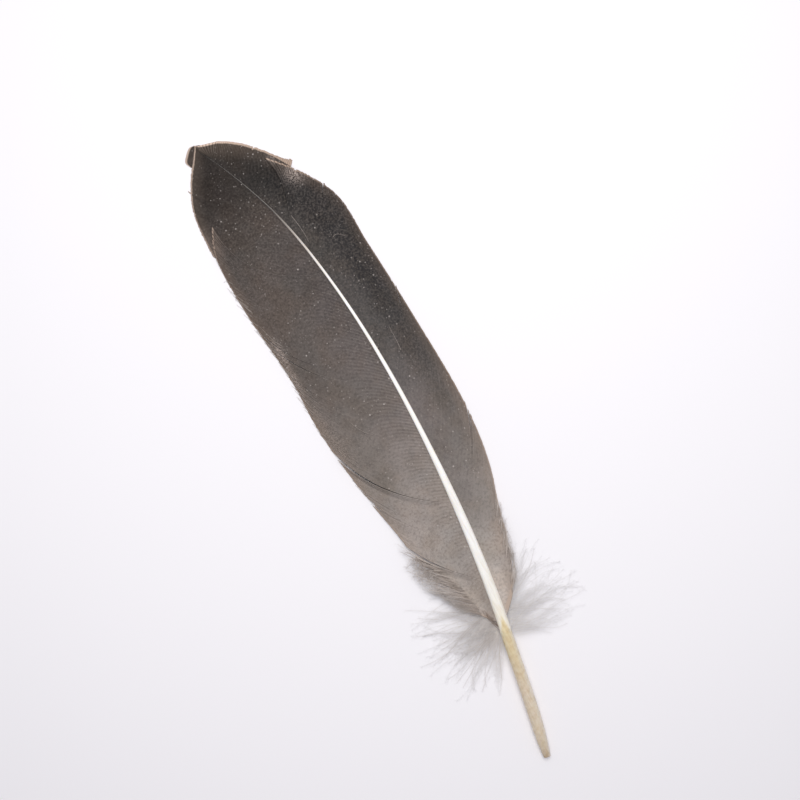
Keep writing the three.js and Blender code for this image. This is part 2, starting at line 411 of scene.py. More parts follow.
def barb_material(name, middle, root, rim):
    """Grey-brown vane: colour along the feather, mottling, light ridges, painted highlights, a pale
    rim and specks.
    """
    material, tree, shader = new_material(name)
    along, across = attribute(tree, "along"), attribute(tree, "across")
    near_root = mapped(tree, across, 0.12, 0.5, 1, 0)
    colour = mix(tree, near_root, ramp(tree, along, middle), ramp(tree, along, root))
    contrast = mapped(tree, along, *PLAIN_TOWARDS_TIP, 1, 0.12)
    before_tip = mapped(tree, along, *DARK_TIP, 1, 0.4)
    colour = mottled(tree, colour, contrast, before_tip)
    colour = ridged(tree, colour, contrast, across)
    colour = rimmed(tree, colour, before_tip, ramp(tree, along, rim))
    for apart_mm, size_mm, amount in SPECKS:
        colour = mix(tree, specks(tree, apart_mm, size_mm, amount), colour, "#c3bbb6")
    finish_shader(tree, shader, colour, {"Roughness": 0.7, "Specular IOR Level": 0.15})
    bump(tree, shader, noise(tree, 0.25, detail=2), 0.03, 0.5)
    return material


def mottled(tree, colour, contrast, before_tip):
    """Some paler strands, dark patches, light grain, dark pits and faint tints."""
    strand = mapped(tree, attribute(tree, "strand"), 0, 1, 0, STRAND_AMOUNT)
    colour = mix(tree, times(tree, strand, contrast), colour, "#b5aca5")
    colour = mix(tree, patches(tree, 7, (0.35, 0.65), SHADE_AMOUNT), colour, "#3f3835")
    grain = patches(tree, 0.7, (0.35, 0.7), GRAIN_AMOUNT, detail=4)
    colour = mix(tree, times(tree, grain, before_tip), colour, "#938982")
    pits = mapped(tree, noise(tree, 0.9), 0.32, 0.55, PIT_AMOUNT, 0)
    colour = mix(tree, pits, colour, "#221d1b")
    for size_mm, tint in TINTS:
        tinted = patches(tree, size_mm, (0.4, 0.65), TINT_AMOUNT)
        colour = mix(tree, tinted, colour, tint, "MULTIPLY")
    return colour


def ridged(tree, colour, contrast, across):
    """Lighter along the ridge of each barb, most of all near the shaft."""
    ridge = mapped(tree, attribute(tree, "ridge"), 0.2, 1, 0, RIDGE_AMOUNT)
    ridge = times(tree, ridge, mapped(tree, across, 0.15, 0.55, 1, 0.4))
    return mix(tree, times(tree, ridge, contrast), colour, "#d6cec7")


def rimmed(tree, colour, before_tip, rim_colour):
    """A warm band beside the free edge, painted highlights on ruffled patches and loose barbs, the
    pale rim.
    """
    edge = attribute(tree, "edge")
    warm = times(tree, mapped(tree, edge, *WARM_BAND, WARM_AMOUNT, 0), before_tip)
    colour = mix(tree, warm, colour, rim_colour)
    # Painted highlight where ruffled barbs catch the light
    glint = times(tree, attribute(tree, "glint"), patches(tree, 0.5, (0.4, 0.6), detail=4))
    colour = mix(tree, glint, colour, "#b7a9a1")
    # Pale rim: the unpigmented barb tips, made paler by painted light showing through them
    colour = mix(tree, mapped(tree, edge, *RIM_BAND, 0.95, 0), colour, rim_colour)
    # Loose barbs beside a split: a paler brown, with a painted highlight along their lifted edge
    return mix(tree, mapped(tree, attribute(tree, "loose"), 0, 1, 0, 0.5), colour, "#a39183")


def specks(tree, apart_mm, size_mm, amount):
    """Rare dust-like flecks: amount inside a fleck and 0 elsewhere."""
    place = tree.nodes.new("ShaderNodeTexCoord")
    cells = tree.nodes.new("ShaderNodeTexVoronoi")
    cells.inputs["Scale"].default_value = 1000 / apart_mm
    tree.links.new(place.outputs["Object"], cells.inputs["Vector"])
    radius = size_mm / apart_mm
    fleck = mapped(tree, cells.outputs["Distance"], 0.3 * radius, radius, 1, 0)
    return times(tree, fleck, patches(tree, 5 * apart_mm, (0.42, 0.62), amount))


def horn_material(name, opacity, translucency):
    """Keratin: yellowish on the barrel and ivory on the rachis, with fine lengthwise streaks."""
    material, tree, shader = new_material(name)
    along = attribute(tree, "along")
    barrel, rachis = ramp(tree, along, BARREL_COLOURS), ramp(tree, along, RACHIS_COLOURS)
    colour = mix(tree, attribute(tree, "ivory"), barrel, rachis)
    # Painted highlight: the right flank of the horn is lighter
    highlight_flank = mapped(tree, attribute(tree, "highlight_flank"), 0.2, 0.9, 0, 0.5)
    colour = mix(tree, highlight_flank, colour, "#f6f0e6")
    streaks = mapped(tree, noise(tree, 0.6, stretch=(1, 0.06, 1)), 0.35, 0.75, 0, 0.22)
    colour = mix(tree, streaks, colour, "#c2ad86", "MULTIPLY")
    on_barrel = mapped(tree, attribute(tree, "ivory"), 0, 1, 1, 0.1)
    blotches = times(tree, patches(tree, 1.6, (0.35, 0.75), 0.4), on_barrel)
    colour = mix(tree, blotches, colour, "#dccaa6", "MULTIPLY")
    finish_shader(tree, shader, colour, {
        "Alpha": opacity,
        "Roughness": 0.34,
        "Subsurface Weight": translucency,
        "Subsurface Radius": (1.0, 0.8, 0.5),
        "Subsurface Scale": 0.001,
    })
    bump(tree, shader, noise(tree, 0.4, stretch=(1, 0.08, 1)), 0.02, 0.4)
    return material


def down_material(name, root, tip, shade):
    """Soft matte strands, shaded from their root to their tip. Some of them are darker."""
    material, tree, shader = new_material(name)
    colour = ramp(tree, attribute(tree, "across"), [(0, root), (1, tip)])
    strand = mapped(tree, attribute(tree, "strand"), 0.3, 1, 0, 0.7)
    colour = mix(tree, strand, colour, shade)
    colour = mix(tree, patches(tree, 3, (0.4, 0.7), 0.2), colour, "#d8d0ca")
    inputs = {"Roughness": 0.9, "Specular IOR Level": 0.2, "Sheen Weight": 0.6}
    finish_shader(tree, shader, colour, inputs)
    return material


def plain_material(name, light, dark, size_mm, roughness):
    """Matte, mottled between two colours, with a grain of size_mm."""
    material, tree, shader = new_material(name)
    colour = mix(tree, patches(tree, size_mm, (0.35, 0.7)), light, dark)
    finish_shader(tree, shader, colour, {"Roughness": roughness})
    bump(tree, shader, noise(tree, size_mm / 2), size_mm / 8, 0.5)
    return material


# ---- shaft

SHAFT_SIDES = 40
BARREL_RINGS = 90
RACHIS_RINGS = 260
BORE_RINGS = 60
PLUG_RINGS = 8
JOIN_LENGTH = 0.5  # the rachis starts this far down the barrel
JOIN_INSET = 0.02  # and this far inside its skin, so that no seam shows
SQUARING = (BARREL_LENGTH - 2, BARREL_LENGTH + 25)  # where the round section gets its shoulders
SQUARENESS = 0.28
GROOVE_DEPTH = 0.35  # of the groove under the rachis, over half its depth
GROOVE_WIDTH = 0.3  # over half its width
WEDGE_TOP = 52  # the barrel's yellow horn runs up the middle of the rachis to here
WEDGE_DROP = 7  # and this much less far at the sides
WEDGE_BLUR = 2
BARREL_COLOURS = [
    (0.0, "#c8b59d"), (0.01, "#dccdb6"), (0.03, "#e9dcc7"), (0.1, "#ecddc8"), (0.15, "#ecdcba"),
    (0.2, "#efe0b8"),
]
RACHIS_COLOURS = [
    (0.17, "#fbf2dc"), (0.24, "#fffcf2"), (0.32, "#fefdf9"), (0.7, "#fbf9f6"), (0.77, "#e6e1dc"),
    (0.82, "#a39b94"), (0.86, "#3a3330"), (0.9, "#2f2a27"), (1.0, "#2f2a27"),
]


def section(squareness, groove):
    """Right and up of a shaft section, from round to square-shouldered with a groove below."""
    angle = 2 * np.pi * (np.arange(SHAFT_SIDES) + 0.5) / SHAFT_SIDES
    power = 1 - SQUARENESS * squareness
    right = np.sign(np.cos(angle)) * np.abs(np.cos(angle)) ** power
    up = np.sign(np.sin(angle)) * np.abs(np.sin(angle)) ** power
    below = bell(right, GROOVE_WIDTH) * (up < 0)
    return right, up + groove * below


def shaft_rows(stations, inset, radii=None):
    """Rings of points along the shaft, one for each station, scaled by radii if given."""
    rows = []
    for i, y in enumerate(stations):
        vane_part = float(smoothstep(y, *SQUARING))
        right, up = section(vane_part, GROOVE_DEPTH * vane_part if inset == 0 else 0)
        size = 1 if radii is None else radii[i]
        rows.append(shaft_point(y, right * size, up * size, inset))
    return np.array(rows)


def shaft_object(name, rows, stations, closed_rows, material):
    """A closed shaft piece from its rings. With closed_rows, the last ring joins the first."""
    count = len(rows)
    if closed_rows:
        faces = grid_faces(count, SHAFT_SIDES, closed_rows=True)
    else:
        faces = strand_faces(1, count, SHAFT_SIDES)
    y = np.repeat(np.array(stations), SHAFT_SIDES)
    right = np.tile(section(0, 0)[0], count)
    wedge = WEDGE_TOP - WEDGE_DROP * np.abs(right)
    ivory = smoothstep(y, wedge - WEDGE_BLUR, wedge + WEDGE_BLUR)
    # The last attribute runs across the horn and places its painted highlight on the right flank
    attributes = {"along": y / LENGTH, "ivory": ivory, "highlight_flank": right}
    return make_object(name, rows, faces, attributes, material)


def make_barrel(material):
    outside = np.concatenate([[0, 0.15, 0.5], np.linspace(1, BARREL_LENGTH, BARREL_RINGS)])
    bore = outside[::-1]
    rows = np.concatenate([shaft_rows(outside, 0), shaft_rows(bore, BARREL_WALL)])
    made = shaft_object("calamus_barrel_horn", rows, [*outside, *bore], True, material)
    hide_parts("calamus_barrel")
    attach(made, BODY)


def make_rachis(material):
    bore = np.linspace(PITH_END + 3, BARREL_LENGTH, BORE_RINGS)
    collar = [BARREL_LENGTH - JOIN_LENGTH]
    outside = np.linspace(BARREL_LENGTH, RACHIS_END, RACHIS_RINGS)
    rows = np.concatenate([
        shaft_rows(bore, RACHIS_WALL), shaft_rows(collar, JOIN_INSET), shaft_rows(outside, 0),
    ])
    stations = [*bore, *collar, *outside]
    made = shaft_object("rachis_cortex_horn", rows, stations, False, material)
    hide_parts("rachis_cortex")
    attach(made, BODY)


def make_filling(name, node, stations, radii, material):
    """A closed piece inside the shaft's bore, at radii from 0 to 1 of the bore."""
    wall = RACHIS_WALL if stations[0] > BARREL_LENGTH else BARREL_WALL
    rows = shaft_rows(stations, wall + GAP, radii)
    made = shaft_object(name, rows, stations, False, material)
    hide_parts(node)
    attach(made, BODY)


def make_pith(material):
    stations = np.linspace(BARREL_LENGTH + 2, PITH_END, BORE_RINGS)
    radii = 0.94 + 0.06 * np.sin(2.7 * stations)
    make_filling("rachis_pith_foam", "rachis_pith", stations, radii, material)


def make_plug(material):
    name, node = "lower_umbilicus_stopper", "lower_umbilicus_plug"
    stations = np.linspace(*PLUG_STATIONS, PLUG_RINGS)
    radii = 0.85 + 0.15 * np.sin(np.linspace(0.2, np.pi - 0.2, PLUG_RINGS))
    make_filling(name, node, stations, radii, material)


def make_pulp_cap(number, material):
    """A thin cup. Its wall is given as (radius, place along the cup), both from 0 to 1."""
    first, last = PULP_CAP_RANGE
    pitch = (last - first) / PULP_CAPS
    outside = [(0.08, 0), (0.4, 0.03), (0.7, 0.12), (0.9, 0.26), (1, 0.45), (0.97, 0.7), (1, 1)]
    inside = [(0.92, 1), (0.89, 0.7), (0.9, 0.5), (0.78, 0.34), (0.5, 0.14), (0.08, 0.08)]
    radii, along = np.array(outside + inside).T
    stations = first + (number - 1 + 0.8 * along) * pitch
    name, node = f"pulp_cap_cup_{number}", f"pulp_cap_{number}"
    make_filling(name, node, stations, radii, material)


# ---- vanes

# Colour of the vanes from the foot to the tip: pale grey-brown, darkening to slate. The root
# colours hold beside the shaft, where the outer vane stays warmer for longer.
INNER_COLOURS = [
    (0.24, "#cdc3bb"), (0.38, "#aea49e"), (0.46, "#827b75"), (0.62, "#6c6460"), (0.8, "#58504c"),
    (0.86, "#4a4340"), (0.9, "#352f2c"), (0.94, "#2a2523"), (1.0, "#241f1d"),
]
# At the foot these are darker than the middle colours: painted shade beside the shaft
INNER_ROOT_COLOURS = [
    (0.24, "#a1978f"), (0.3, "#a99f99"), (0.4, "#a09792"), (0.52, "#756c69"), (0.7, "#56504f"),
    (0.84, "#504845"), (0.9, "#312c29"), (0.94, "#25211f"), (1.0, "#211d1c"),
]
OUTER_COLOURS = [
    (0.24, "#c8bcb4"), (0.4, "#8f8782"), (0.48, "#78706c"), (0.58, "#464241"), (0.7, "#2c2c2f"),
    (0.9, "#202021"), (1.0, "#3b332c"),
]
OUTER_ROOT_COLOURS = [
    (0.24, "#dcd2ca"), (0.38, "#7f7773"), (0.53, "#6a6362"), (0.62, "#504d4d"), (0.8, "#464341"),
    (0.9, "#2b2928"), (1.0, "#282423"),
]
# Rim colours: the pale barb tips, partly their own colour and partly painted light showing through
# them
INNER_RIM_COLOURS = [(0.3, "#c4b2a3"), (0.5, "#b19c8a"), (0.8, "#a18d7e"), (0.95, "#d0bbab")]
OUTER_RIM_COLOURS = [
    (0.3, "#c4b2a3"), (0.5, "#9c8878"), (0.85, "#7d6c60"), (0.92, "#c0a997"), (0.99, "#e2cab8"),
]

BARB_RINGS = 26
BARB_TUCK = 0.2  # how deep a barb is rooted in the shaft, over the shaft's width
BARB_TUCK_LIMIT = 0.5  # and in millimetres, so that it stays clear of the pith
TIP_X = 1.2  # where the barbs of both vanes meet at the very tip
MEETING_LENGTH = 5  # they turn towards it over this much of the shaft
SPLIT_REACH = 5  # how far down the shaft a split is felt
LOOSE_BARBS = 4  # unhooked barbs on the near side of a split
FRAY_CHANCE = 0.03  # for any barb, and with this much more beside the roots in frays
FRAY_PLACE_CHANCE = 0.3
FRAY_REACH = 2.5
LENGTH_SCATTER = 0.003
FRAYED_SCATTER = 0.04
NOTCH_DEPTH = 0.14  # of the length of a barb
NOTCH_REACH = 0.7
STRAY = 0.07  # how far the end of a barb strays along the shaft
FRAYED_STRAY = 0.65
STRAY_POWER = 5
CALM = (180, 200)  # towards the tip the barbs stray less
CALMED = 0.85
WANDER = 0.1
WANDER_SCALE = 3.1
WAVES = ((1, 1, 1), (0.6, 2.3, 1.7), (0.35, 5.1, 2.9))  # size, how much finer, how far along
SWELL = 0.4  # slow rise and fall of the barbs
SWELL_SCALE = 5.3
SWELL_TURN = 2.2
FOOT_HOOKED = 0.5  # the lowest barbs are hooked for this much of their length
FOOT_RAGGED = 0.09
TIP_TAPER = (0.3, 0.9)  # how much thinner a barb ends, on the vane and at its foot
TAPER_START = (0.975, 0.72)
LAP_REACH = 3.6  # how far down the shaft a lap is felt
LAP_POWER = 3.5
LAP_FALL = 1.5  # how fast the rise of the upper lock fades out down the shaft
LAP_RISE_POWER = 1.8
ZIP_LIFT = 0.4  # the last barbs of a loose lock lie this far over the lock that they zip to
ZIP_REACH = 2.2
BEND_AT = 0.6  # how far out along its barbs the bending of a lock is set
FLOOR_CLEARANCE = 0.05
# Section of a barb with its hooked barbules: offset along the roots over the spacing of the barbs,
# height in millimetres, and how much of it is the barb's own ridge
BARB_SECTION = np.array([
    (-0.62, -0.05, 0), (-0.17, 0.0, 0.2), (0.0, 0.07, 1), (0.17, 0.0, 0.2), (0.62, 0.02, 0),
    (0.52, -0.03, 0), (0.0, -0.13, 0.6), (-0.52, -0.09, 0),
])


def vane_point(vane, root, t):
    """Point at t along the barb rooted at root, on the vane's middle surface. Arrays broadcast."""
    tuck = np.minimum(BARB_TUCK * shaft_width(root), BARB_TUCK_LIMIT)
    shaft_edge = shaft_point(root, vane["side"], 0, tuck)
    start_x, start_y = shaft_edge[..., 0], shaft_edge[..., 1]
    end_y = vane["reach"](root)
    meeting = smoothstep(root, vane["splits"][-1] - MEETING_LENGTH, RACHIS_END - 1)
    end_x = lerp(vane["edge_x"](end_y), TIP_X, meeting)
    root_angle = np.radians(vane["root_angle"](root)) * (1 - meeting)
    heading = np.arctan(shaft_slope(root)) + vane["side"] * root_angle
    lead = BARB_LEAD * np.hypot(end_x - start_x, end_y - start_y)
    bend_x = start_x + lead * np.sin(heading)
    bend_y = start_y + lead * np.cos(heading)
    x = (1 - t) ** 2 * start_x + 2 * t * (1 - t) * bend_x + t**2 * end_x
    y = (1 - t) ** 2 * start_y + 2 * t * (1 - t) * bend_y + t**2 * end_y
    root_height = underside_height(root) + BARB_ROOT_HEIGHT * shaft_depth(root)
    foot = vane["foot_end"]
    lift = vane["foot_lift"] * smoothstep(foot - root, 0, foot - vane["splits"][0])
    z = lerp(root_height, EDGE_HEIGHT + lift, np.clip(t, 0, None) ** BARB_DROOP)
    return np.stack(np.broadcast_arrays(x, y, z), -1)


def wander(root, t, phase):
    """Slow, repeatable waviness of the barbs, growing towards the vane's edge."""
    place = root / WANDER_SCALE
    wave = sum(size * np.sin(place * finer + turn * phase) for size, finer, turn in WAVES)
    return WANDER * wave * t**2


def lock_roots(vane):
    """(number, low root, high root) of each lock."""
    locks = []
    for i, count in enumerate(vane["locks_between_splits"]):
        roots = np.linspace(vane["splits"][i], vane["splits"][i + 1], count + 1)
        for low, high in zip(roots[:-1], roots[1:]):
            locks.append((len(locks) + 1, low, high))
    return locks


def barb_length(vane, root):
    """How much of its full length a barb stays hooked: the lowest ones end in a downy fringe."""
    return lerp(FOOT_HOOKED, 1, smoothstep(root, vane["downy_until"] - 12, vane["downy_until"]))


def edge_distance(vane, points, t):
    """How far inside the free edge of the vane points are, in millimetres."""
    y = points[..., 1]
    slope = (vane["edge_x"](y + 1) - vane["edge_x"](y - 1)) / 2
    inside = vane["side"] * (vane["edge_x"](y) - points[..., 0]) / np.sqrt(1 + slope**2)
    length = np.linalg.norm(points[:, -1:] - points[:, :1], axis=-1)
    return np.minimum(inside, 0.6 * length * (t[:, -1:] - t) / t[:, -1:])


def glint_of(vane, points):
    """Patches of ruffled barbs that catch the light, given a painted highlight."""
    right, forward = points[..., 0], points[..., 1]
    return sum(
        strength * bell(right - x, across) * bell(forward - y, along)
        for x, y, across, along, strength in vane["glints"]
    )


def lap_part(move, away, width, t, profile):
    """Moves the barbs at one end of a lock, and the others less the further away they are."""
    swing = np.exp(-away / LAP_REACH) * t**LAP_POWER
    fade = np.clip(1 - away / width, 0, 1) ** LAP_FALL
    return np.stack([move[0] * swing, move[1] * swing, move[2] * fade * profile], -1)


def lap_shift(vane, number, low, high, root, t):
    """How far barbs are moved where a lock lies over the next one: its last barbs swing over the
    first barbs of that lock, which spread out below them."""
    over, _ = vane["laps"].get(number, ((0, 0, 0), None))
    _, under = vane["laps"].get(number - 1, (None, (0, 0, 0)))
    from_last, from_first = np.maximum(high - root, 0), np.maximum(root - low, 0)
    upper = lap_part(over, from_last, high - low, t, t**LAP_RISE_POWER)
    return upper + lap_part(under, from_first, high - low, t, -np.sin(np.pi * t))


def frayed_barbs(vane, root, loose, random):
    """Above 0 for barbs that are frayed. Loose ones always are."""
    near = sum(bell(root - place, FRAY_REACH) for place in vane["frays"])
    return (random.random(root.shape) < FRAY_CHANCE + FRAY_PLACE_CHANCE * near) + loose


def hooked_length(vane, root, frayed, random):
    """How much of its full length each barb has, with some scatter and the notches of the edge."""
    length = barb_length(vane, root) + random.normal(0, LENGTH_SCATTER, root.shape)
    length = length + FRAYED_SCATTER * frayed * random.uniform(-1, 1, root.shape)
    return length - sum(NOTCH_DEPTH * bell(root - place, NOTCH_REACH) for place in vane["notches"])


def stray_of(root, frayed, loose, random):
    """How far the end of each barb strays up the shaft. Loose ones only stray down it."""
    calm = 1 - CALMED * smoothstep(root, *CALM)
    stray = random.normal(0, 1, root.shape) * (STRAY + FRAYED_STRAY * frayed) * calm
    return np.where(loose > 0, -np.abs(stray), stray)


def spread_over(points, attributes):
    """Each attribute with a value for every point."""
    return {key: np.broadcast_to(value, points.shape[:3]) for key, value in attributes.items()}


def make_lock(vane, number, low, high, random, material):
    """The barbs of one lock, as one piece. Its last barbs hang loose where it borders a split."""
    name = f"{vane['name']}_{number:02d}"
    if high == vane["splits"][-1]:
        high = RACHIS_END - 0.5
    count = max(int(round((high - low) / vane["barb_spacing"])), 4)
    spacing = (high - low) / count
    t = np.linspace(0, 1, BARB_RINGS)[None, :, None]
    root = (low + spacing * (np.arange(count) + 0.5))[:, None, None]
    opening, power, lift = vane["openings"].get(number, (0, 1, 0))
    split = opening * np.exp(-(high - root) / SPLIT_REACH) * t**power
    loose = smoothstep(root, high - LOOSE_BARBS * spacing, high) * (opening > 0)
    frayed = frayed_barbs(vane, root, loose, random)
    length = hooked_length(vane, root, frayed, random)
    stray = stray_of(root, frayed, loose, random) * t**STRAY_POWER
    foot = 1 - smoothstep(root, vane["downy_until"] - 10, vane["downy_until"] + 3)
    length = length * (1 + FOOT_RAGGED * foot * random.uniform(-1, 1, root.shape))
    taper = 1 - lerp(*TIP_TAPER, foot) * smoothstep(t, lerp(*TAPER_START, foot), 1)
    offset, height, ridge = BARB_SECTION.T
    exact_root = root + wander(root, t, vane["side"]) + stray - split + offset * spacing * taper
    points = vane_point(vane, exact_root, t * length)
    points[..., 2] += height * taper + lift * loose * t**2
    points[..., 2] += SWELL * np.sin(root / SWELL_SCALE + SWELL_TURN * t) * (1 - t) * t
    points += lap_shift(vane, number, low, high, exact_root, t)
    if name in LOOSE_LOCKS:
        points[..., 2] += ZIP_LIFT * np.exp(-(high - root) / ZIP_REACH) * smoothstep(t, -0.05, 0.2)
    points[..., 2] = np.maximum(points[..., 2], FLOOR_CLEARANCE)
    attributes = spread_over(points, {
        "along": points[..., 1] / LENGTH,
        "across": t,
        "strand": random.random(root.shape),
        "ridge": ridge,
        # loose and glint mark where painted highlights fall
        "loose": loose**2 * smoothstep(t, 0.72, 0.9),
        "glint": glint_of(vane, points),
        "edge": edge_distance(vane, points, t * length),
    })
    faces = strand_faces(count, BARB_RINGS, len(BARB_SECTION))
    made = make_object(f"{vane['piece']}_{number:02d}", points, faces, attributes, material)
    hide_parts(name)
    follow_lock(made, vane, number, low, high)


def follow_lock(made, vane, number, low, high):
    """Ride the lock's own body, or the feather's. If only the next lock is loose, the piece is left
    where it is, on no body.
    """
    own = LOOSE_LOCKS.get(f"{vane['name']}_{number:02d}")
    above = LOOSE_LOCKS.get(f"{vane['name']}_{number + 1:02d}")
    if own or not above:
        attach(made, own or BODY)
        return
    out = np.array([BEND_AT, BEND_AT, BEND_AT + 0.05])
    start, beside, further = vane_point(vane, np.array([low, high, low]), out)
    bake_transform(made)


def make_vane(vane, material):
    random = np.random.default_rng(SEED + vane["side"])
    for number, low, high in lock_roots(vane):
        make_lock(vane, number, low, high, random, material)


# ---- down

LEFT_DOWN = {
    "name": "left_down_tuft",
    "piece": "left_down_fluff",
    "side": -1,
    "roots": (44, 58),
    "angles": (52, 150),
    "radius": curve_through([(52, 29), (105, 31), (150, 22)]),
    "barbs": 22,
}
RIGHT_DOWN = {
    "name": "right_down_tuft",
    "piece": "right_down_fluff",
    "side": 1,
    "roots": (44, 56),
    "angles": (40, 135),
    "radius": curve_through([(40, 26), (100, 29), (135, 18)]),
    "barbs": 13,
}
DOWN_RINGS = 18
DOWN_THICKNESS = (0.075, 0.03)  # radius of a downy barb at its root and its tip
DOWN_SCATTER = 26  # how much the barbs wander off their heading, in degrees
DOWN_WAVE = 9  # and how far they swing about it
FLATNESS = 0.35  # thickness of a strand over its width
BARBULE_THICKNESS = (0.018, 0.008)
BARBULE_PITCH = 0.85
BARBULE_RINGS = 3
BARBULE_LENGTH = (1.0, 2.6)
BARBULE_LEAN = (0.4, 1.1)
BARBULE_SPREAD = 0.8  # over its length
BARBULE_RISE = 0.4
AFTERFEATHER_BARBS = 44
AFTERFEATHER_LENGTH = 4.2
FRINGE_COUNTS = ((INNER_VANE, (64, 60)), (OUTER_VANE, (26, 12)))  # for the lowest two locks
FRINGE_START = (0.55, 0.95)  # where it starts, over the hooked length of its barb
FRINGE_END = (0.85, 1.3)
FRINGE_CURL = (-1, 9)
FRINGE_THICKNESS = (0.14, 0.04)
FRINGE_HEIGHT = 0.35  # over the vane
FRINGE_LIFT = 1.3  # near the end of its lock, a fringe lies over the next one


def directions(curves):
    """Unit tangents of curves of points, along their second axis."""
    tangent = np.gradient(curves, axis=1)
    return tangent / np.linalg.norm(tangent, axis=-1, keepdims=True)


def thin_strands(curves, radii):
    """Flattened four-sided strands round curves of points, with a radius for each ring."""
    tangent = directions(curves)
    side = np.cross(tangent, (0.0, 0.0, 1.0))
    side /= np.linalg.norm(side, axis=-1, keepdims=True) + 1e-9
    over = FLATNESS * np.cross(side, tangent)
    radii = np.broadcast_to(radii, curves.shape[:2])[..., None]
    return np.stack([curves + radii * corner for corner in (side, over, -side, -over)], 2)


def barbules_of(curves, random):
    """Middle lines of the barbules on both sides of downy barbs, and where each one is rooted."""
    strands, rings = curves.shape[:2]
    length = np.linalg.norm(np.diff(curves, axis=1), axis=-1).sum(1).mean()
    each = max(int(length / BARBULE_PITCH), 6)
    place = np.tile(np.linspace(0.04, 0.99, each), (strands, 2))
    place = np.clip(place + random.normal(0, 0.01, place.shape), 0, 1)
    ring = np.clip((place * (rings - 1)).astype(int), 0, rings - 2)
    rest = (place * (rings - 1) - ring)[..., None]
    strand = np.arange(strands)[:, None]
    start = lerp(curves[strand, ring], curves[strand, ring + 1], rest)
    heading = directions(curves)[strand, ring]
    sideways = np.stack([heading[..., 1], -heading[..., 0], 0 * heading[..., 0]], -1)
    sideways *= np.repeat([1.0, -1.0], each)[None, :, None]
    size = random.uniform(*BARBULE_LENGTH, place.shape) * (1 - 0.45 * place)
    lean = random.uniform(*BARBULE_LEAN, place.shape)[..., None]
    rise = random.normal(0, BARBULE_RISE, place.shape)
    spread = BARBULE_SPREAD * size[..., None]
    lines = []
    for s in np.linspace(0, 1, BARBULE_RINGS):
        point = start + spread * (sideways * s + heading * lean * (s + 0.5 * s**2))
        point[..., 2] = np.maximum(point[..., 2] + rise * size * s, FLOOR_CLEARANCE)
        lines.append(point)
    lines = np.stack(lines, 2).reshape(-1, BARBULE_RINGS, 3)
    return lines, place


def make_plume(name, curves, random, material, thickness=DOWN_THICKNESS):
    """Downy barbs with their barbules, as one piece."""
    strands, rings = curves.shape[:2]
    barbs = thin_strands(curves, np.linspace(*thickness, rings))
    lines, place = barbules_of(curves, random)
    barbules = thin_strands(lines, np.linspace(*BARBULE_THICKNESS, BARBULE_RINGS))
    points = np.concatenate([barbs.reshape(-1, 3), barbules.reshape(-1, 3)])
    faces = np.concatenate([
        strand_faces(strands, rings, 4),
        strand_faces(len(lines), BARBULE_RINGS, 4) + barbs[..., 0].size,
    ])
    shade = random.random(strands)
    across = np.tile(np.repeat(np.linspace(0, 1, rings), 4), strands)
    attributes = {
        "across": np.concatenate([across, np.repeat(place.ravel(), BARBULE_RINGS * 4)]),
        "strand": np.concatenate([
            np.repeat(shade, rings * 4),
            np.repeat(shade, place.shape[1] * BARBULE_RINGS * 4),
        ]),
    }
    return make_object(name, points, faces, attributes, material)


def downy_curves(fan, count, low_angle, high_angle, random):
    """Wavy middle lines of downy barbs that fan out from the side of the shaft."""
    t = np.linspace(0, 1, DOWN_RINGS)
    angle = random.uniform(low_angle, high_angle, (count, 1))
    reach = fan["radius"](angle) * random.uniform(0.5, 1.0, (count, 1))
    drift = random.normal(0, DOWN_SCATTER, (count, 1)) * (t - 0.2)
    waves = random.uniform(4, 9, (count, 1)) * t
    phase = random.uniform(0, 6, (count, 1))
    heading = np.radians(angle + drift + DOWN_WAVE * np.sin(waves + phase))
    step = reach / (DOWN_RINGS - 1)
    root = shaft_point(random.uniform(*fan["roots"], (count, 1)), fan["side"], -0.3, 0.3)
    x = root[..., 0] + fan["side"] * np.cumsum(step * np.sin(heading), 1)
    y = root[..., 1] + np.cumsum(step * np.cos(heading), 1)
    rest = random.uniform(0.15, 1.2, (count, 1))
    z = lerp(root[..., 2], rest, t**0.6) + random.uniform(0.2, 1.8, (count, 1)) * np.sin(np.pi * t)
    return np.stack([x, y, z], -1)


def make_down(fan, material):
    random = np.random.default_rng(SEED + 10 + fan["side"])
    edges = np.linspace(*fan["angles"], DOWN_TUFTS + 1)
    for number in range(1, DOWN_TUFTS + 1):
        curves = downy_curves(fan, fan["barbs"], edges[number - 1], edges[number], random)
        made = make_plume(f"{fan['piece']}_{number}", curves, random, material)
        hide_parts(f"{fan['name']}_{number}")
        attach(made, BODY)


def make_afterfeather(material):
    """Short soft barbs on both sides of a little shaft of their own, under the rachis."""
    random = np.random.default_rng(SEED + 20)
    count = AFTERFEATHER_BARBS
    t = np.linspace(0, 1, DOWN_RINGS)
    root = np.linspace(BARREL_LENGTH + 2, BARREL_LENGTH + 17, count)[:, None]
    side = np.tile([-1.0, 1.0], count // 2)[:, None]
    size = AFTERFEATHER_LENGTH * random.uniform(0.7, 1.0, (count, 1))
    x = shaft_x(root) + side * size * np.sin(1.3 * t) * 0.8
    y = root + size * t**1.4
    z = underside_height(root) - GAP - 0.3 - 0.4 * t - 0.5 * (root - BARREL_LENGTH) / 20
    curves = np.stack(np.broadcast_arrays(x, y, z), -1)
    made = make_plume("afterfeather_fluff", curves, random, material)
    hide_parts("afterfeather")
    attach(made, BODY)


